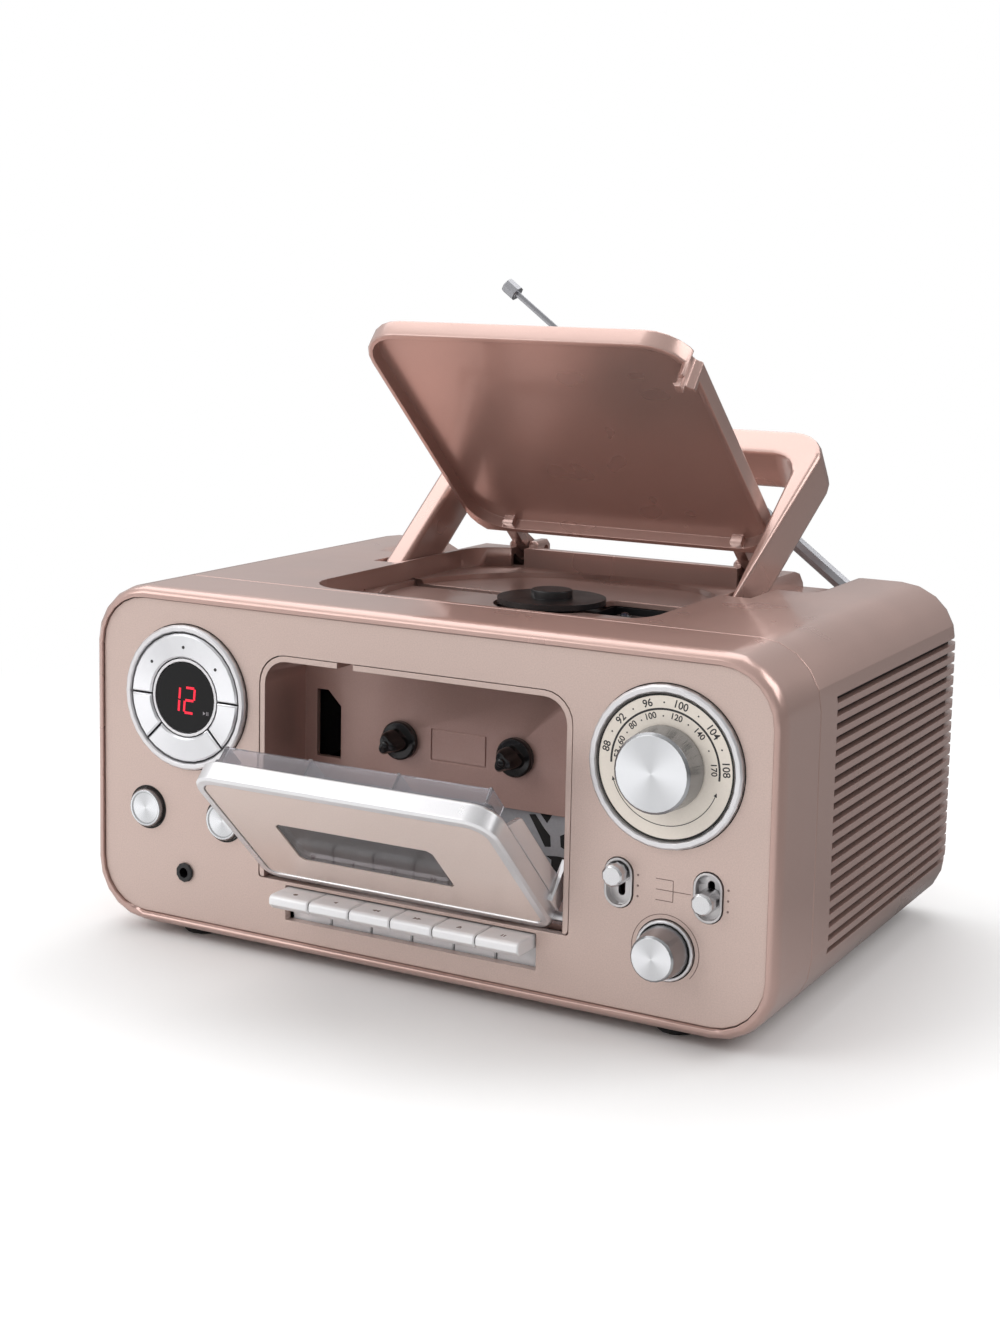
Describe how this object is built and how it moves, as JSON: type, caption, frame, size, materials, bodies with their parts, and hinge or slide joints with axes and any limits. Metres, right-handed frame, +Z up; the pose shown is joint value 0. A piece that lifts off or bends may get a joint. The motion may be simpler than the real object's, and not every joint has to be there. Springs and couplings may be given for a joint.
{
  "type": "cd radio cassette player",
  "caption": "Portable radio with a cassette deck behind a tilting door, a top-loading disc well under a hinged lid, a folding handle and a telescopic aerial.",
  "frame": {"origin": "middle of the cabinet's flat underside; the feet reach 3.3 mm below it", "axes": "+Z up, the front panel faces -Y, +X to the right as seen from the front"},
  "size_m": [0.247, 0.2282, 0.2204],
  "materials": {
    "rose_paint": "metallic rose lacquer, satin",
    "light_rose_paint": "metallic rose lacquer with a fine grain",
    "silver_plating": "silver plated plastic",
    "pearl_plastic": "pearl white and silver lacquer",
    "spun_aluminium": "spun and polished",
    "chrome": "polished",
    "steel": "zinc plated sheet",
    "black_plastic": "semi gloss",
    "dark_paper": "matt",
    "rubber": "matt",
    "cream_plastic": "matt, printed scale",
    "clear_plastic": "clear",
    "smoked_plastic": "smoked, clear"
  },
  "bodies": {
    "cabinet": {"front_bezel": "rose_paint", "front_panel": "light_rose_paint", "rear_cabinet": "rose_paint", "pad_ring": "silver_plating", "display_window": "black_plastic", "line_in_socket": "steel", "selector_cup_left": "silver_plating", "selector_cup_right": "silver_plating", "volume_ring": "silver_plating", "dial_bezel": "silver_plating", "dial_plate": "cream_plastic", "cassette_bay": "light_rose_paint", "deck_chassis": "steel", "key_shaft": "steel", "foot_front_left": "rubber", "foot_front_right": "rubber", "foot_rear_left": "rubber", "foot_rear_right": "rubber", "cd_chassis": "black_plastic", "sled_rail_front": "steel", "sled_rail_rear": "steel", "speaker_basket_left": "steel", "speaker_cone_left": "dark_paper", "speaker_basket_right": "steel", "speaker_cone_right": "dark_paper", "mains_socket": "black_plastic"},
    "pad_key_1": {"pad_key_1": "silver_plating"},
    "pad_key_2": {"pad_key_2": "silver_plating"},
    "pad_key_3": {"pad_key_3": "silver_plating"},
    "pad_key_4": {"pad_key_4": "silver_plating"},
    "play_button": {"play_button": "spun_aluminium"},
    "stop_button": {"stop_button": "spun_aluminium"},
    "selector_left": {"selector_knob_left": "chrome"},
    "selector_right": {"selector_knob_right": "chrome"},
    "volume_knob": {"volume_knob": "spun_aluminium"},
    "tuning_knob": {"tuning_knob": "spun_aluminium"},
    "reel_left": {"reel_left": "black_plastic"},
    "reel_right": {"reel_right": "black_plastic"},
    "heads": {"head_bar": "steel"},
    "capstan": {"capstan": "chrome"},
    "pinch_roller": {"pinch_roller": "rubber"},
    "deck_key_1": {"deck_key_1": "pearl_plastic"},
    "deck_key_2": {"deck_key_2": "pearl_plastic"},
    "deck_key_3": {"deck_key_3": "pearl_plastic"},
    "deck_key_4": {"deck_key_4": "pearl_plastic"},
    "deck_key_5": {"deck_key_5": "pearl_plastic"},
    "deck_key_6": {"deck_key_6": "pearl_plastic"},
    "door": {"cassette_door": "silver_plating", "door_panel": "light_rose_paint", "door_window": "smoked_plastic", "cassette_holder": "clear_plastic"},
    "lid": {"cd_lid": "rose_paint"},
    "handle": {"carry_handle": "rose_paint"},
    "turntable": {"cd_turntable": "black_plastic"},
    "sled": {"laser_sled": "black_plastic"},
    "battery_door": {"battery_door": "rose_paint"},
    "aerial_yoke": {"aerial_yoke": "chrome"},
    "aerial_lower": {"aerial_tube_lower": "chrome"},
    "aerial_middle": {"aerial_tube_middle": "chrome"},
    "aerial_tip": {"aerial_tip": "chrome"}
  },
  "joints": [
    {"name": "pad_key_1_press", "type": "slide", "parent": "cabinet", "child": "pad_key_1", "axis": [0, 1, 0], "range_m": [0, 0.0009], "stiffness_N_per_m": 150},
    {"name": "pad_key_2_press", "type": "slide", "parent": "cabinet", "child": "pad_key_2", "axis": [0, 1, 0], "range_m": [0, 0.0009], "stiffness_N_per_m": 150},
    {"name": "pad_key_3_press", "type": "slide", "parent": "cabinet", "child": "pad_key_3", "axis": [0, 1, 0], "range_m": [0, 0.0009], "stiffness_N_per_m": 150},
    {"name": "pad_key_4_press", "type": "slide", "parent": "cabinet", "child": "pad_key_4", "axis": [0, 1, 0], "range_m": [0, 0.0009], "stiffness_N_per_m": 150},
    {"name": "play_button_press", "type": "slide", "parent": "cabinet", "child": "play_button", "axis": [0, 1, 0], "range_m": [0, 0.001], "stiffness_N_per_m": 150},
    {"name": "stop_button_press", "type": "slide", "parent": "cabinet", "child": "stop_button", "axis": [0, 1, 0], "range_m": [0, 0.001], "stiffness_N_per_m": 150},
    {"name": "selector_left_slide", "type": "slide", "parent": "cabinet", "child": "selector_left", "axis": [0, 0, 1], "range_m": [-0.0062, 0]},
    {"name": "selector_right_slide", "type": "slide", "parent": "cabinet", "child": "selector_right", "axis": [0, 0, 1], "range_m": [-0.0023, 0.0039]},
    {"name": "volume_turn", "type": "hinge", "parent": "cabinet", "child": "volume_knob", "pos_m": [0.0886, -0.085, 0.0246], "axis": [0, -1, 0], "range_deg": [-60, 240]},
    {"name": "tuning_turn", "type": "hinge", "parent": "cabinet", "child": "tuning_knob", "pos_m": [0.0874, -0.085, 0.0795], "axis": [0, -1, 0], "range_deg": [-135, 135]},
    {"name": "reel_left_spin", "type": "hinge", "parent": "cabinet", "child": "reel_left", "pos_m": [-0.01715, -0.0615, 0.0694], "axis": [0, 1, 0], "continuous": true},
    {"name": "reel_right_spin", "type": "hinge", "parent": "cabinet", "child": "reel_right", "pos_m": [0.02535, -0.0615, 0.0694], "axis": [0, 1, 0], "continuous": true},
    {"name": "capstan_spin", "type": "hinge", "parent": "cabinet", "child": "capstan", "pos_m": [0.023, -0.0615, 0.0394], "axis": [0, 1, 0], "continuous": true},
    {"name": "pinch_roller_spin", "type": "hinge", "parent": "cabinet", "child": "pinch_roller", "pos_m": [0.023, -0.0615, 0.032], "axis": [0, 1, 0], "continuous": true},
    {"name": "deck_key_1_press", "type": "hinge", "parent": "cabinet", "child": "deck_key_1", "pos_m": [0, -0.064, 0.017], "axis": [1, 0, 0], "range_deg": [0, 7], "stiffness_Nm_per_rad": 0.06, "springref_deg": -14.32},
    {"name": "deck_key_2_press", "type": "hinge", "parent": "cabinet", "child": "deck_key_2", "pos_m": [0, -0.064, 0.017], "axis": [1, 0, 0], "range_deg": [0, 7], "stiffness_Nm_per_rad": 0.0005, "springref_deg": -37.59},
    {"name": "deck_key_3_press", "type": "hinge", "parent": "cabinet", "child": "deck_key_3", "pos_m": [0, -0.064, 0.017], "axis": [1, 0, 0], "range_deg": [0, 7], "stiffness_Nm_per_rad": 0.06, "springref_deg": -14.32},
    {"name": "deck_key_4_press", "type": "hinge", "parent": "cabinet", "child": "deck_key_4", "pos_m": [0, -0.064, 0.017], "axis": [1, 0, 0], "range_deg": [0, 7], "stiffness_Nm_per_rad": 0.06, "springref_deg": -14.32},
    {"name": "deck_key_5_press", "type": "hinge", "parent": "cabinet", "child": "deck_key_5", "pos_m": [0, -0.064, 0.017], "axis": [1, 0, 0], "range_deg": [0, 7], "stiffness_Nm_per_rad": 0.06, "springref_deg": -14.32},
    {"name": "deck_key_6_press", "type": "hinge", "parent": "cabinet", "child": "deck_key_6", "pos_m": [0, -0.064, 0.017], "axis": [1, 0, 0], "range_deg": [0, 7], "stiffness_Nm_per_rad": 0.06, "springref_deg": -14.32},
    {"name": "heads_slide", "type": "slide", "parent": "cabinet", "child": "heads", "axis": [0, 0, 1], "range_m": [0, 0.003], "stiffness_N_per_m": 4, "springref_m": 0.0185},
    {"name": "door_hinge", "type": "hinge", "parent": "cabinet", "child": "door", "pos_m": [0, -0.0825, 0.0279], "axis": [1, 0, 0], "range_deg": [-45.6, 0]},
    {"name": "lid_hinge", "type": "hinge", "parent": "cabinet", "child": "lid", "pos_m": [0, 0.0815, 0.114], "axis": [1, 0, 0], "range_deg": [0, 41]},
    {"name": "handle_hinge", "type": "hinge", "parent": "cabinet", "child": "handle", "pos_m": [0, 0.0185, 0.1052], "axis": [1, 0, 0], "range_deg": [0, 48]},
    {"name": "turntable_spin", "type": "hinge", "parent": "cabinet", "child": "turntable", "pos_m": [0, 0.009, 0.1066], "axis": [0, 0, 1], "continuous": true},
    {"name": "sled_slide", "type": "slide", "parent": "cabinet", "child": "sled", "axis": [1, 0, 0], "range_m": [-0.003, 0.017]},
    {"name": "battery_door_hinge", "type": "hinge", "parent": "cabinet", "child": "battery_door", "pos_m": [0, 0.0842, 0.0145], "axis": [-1, 0, 0], "range_deg": [0, 75]},
    {"name": "aerial_swivel", "type": "hinge", "parent": "cabinet", "child": "aerial_yoke", "pos_m": [0.084, 0.0985, 0.101], "axis": [0, 1, 0], "range_deg": [-36, 107]},
    {"name": "aerial_tilt", "type": "hinge", "parent": "aerial_yoke", "child": "aerial_lower", "pos_m": [0.084, 0.0985, 0.101], "axis": [-0.5962, 0, -0.8028], "range_deg": [0, 75]},
    {"name": "aerial_middle_slide", "type": "slide", "parent": "aerial_lower", "child": "aerial_middle", "axis": [-0.8028, 0, 0.5962], "range_m": [-0.058, 0]},
    {"name": "aerial_tip_slide", "type": "slide", "parent": "aerial_middle", "child": "aerial_tip", "axis": [-0.8028, 0, 0.5962], "range_m": [-0.044, 0]}
  ],
  "couplings": [
    {"joint": "deck_key_2_press", "follows": "heads_slide", "rad_per_m": 40.7}
  ]
}
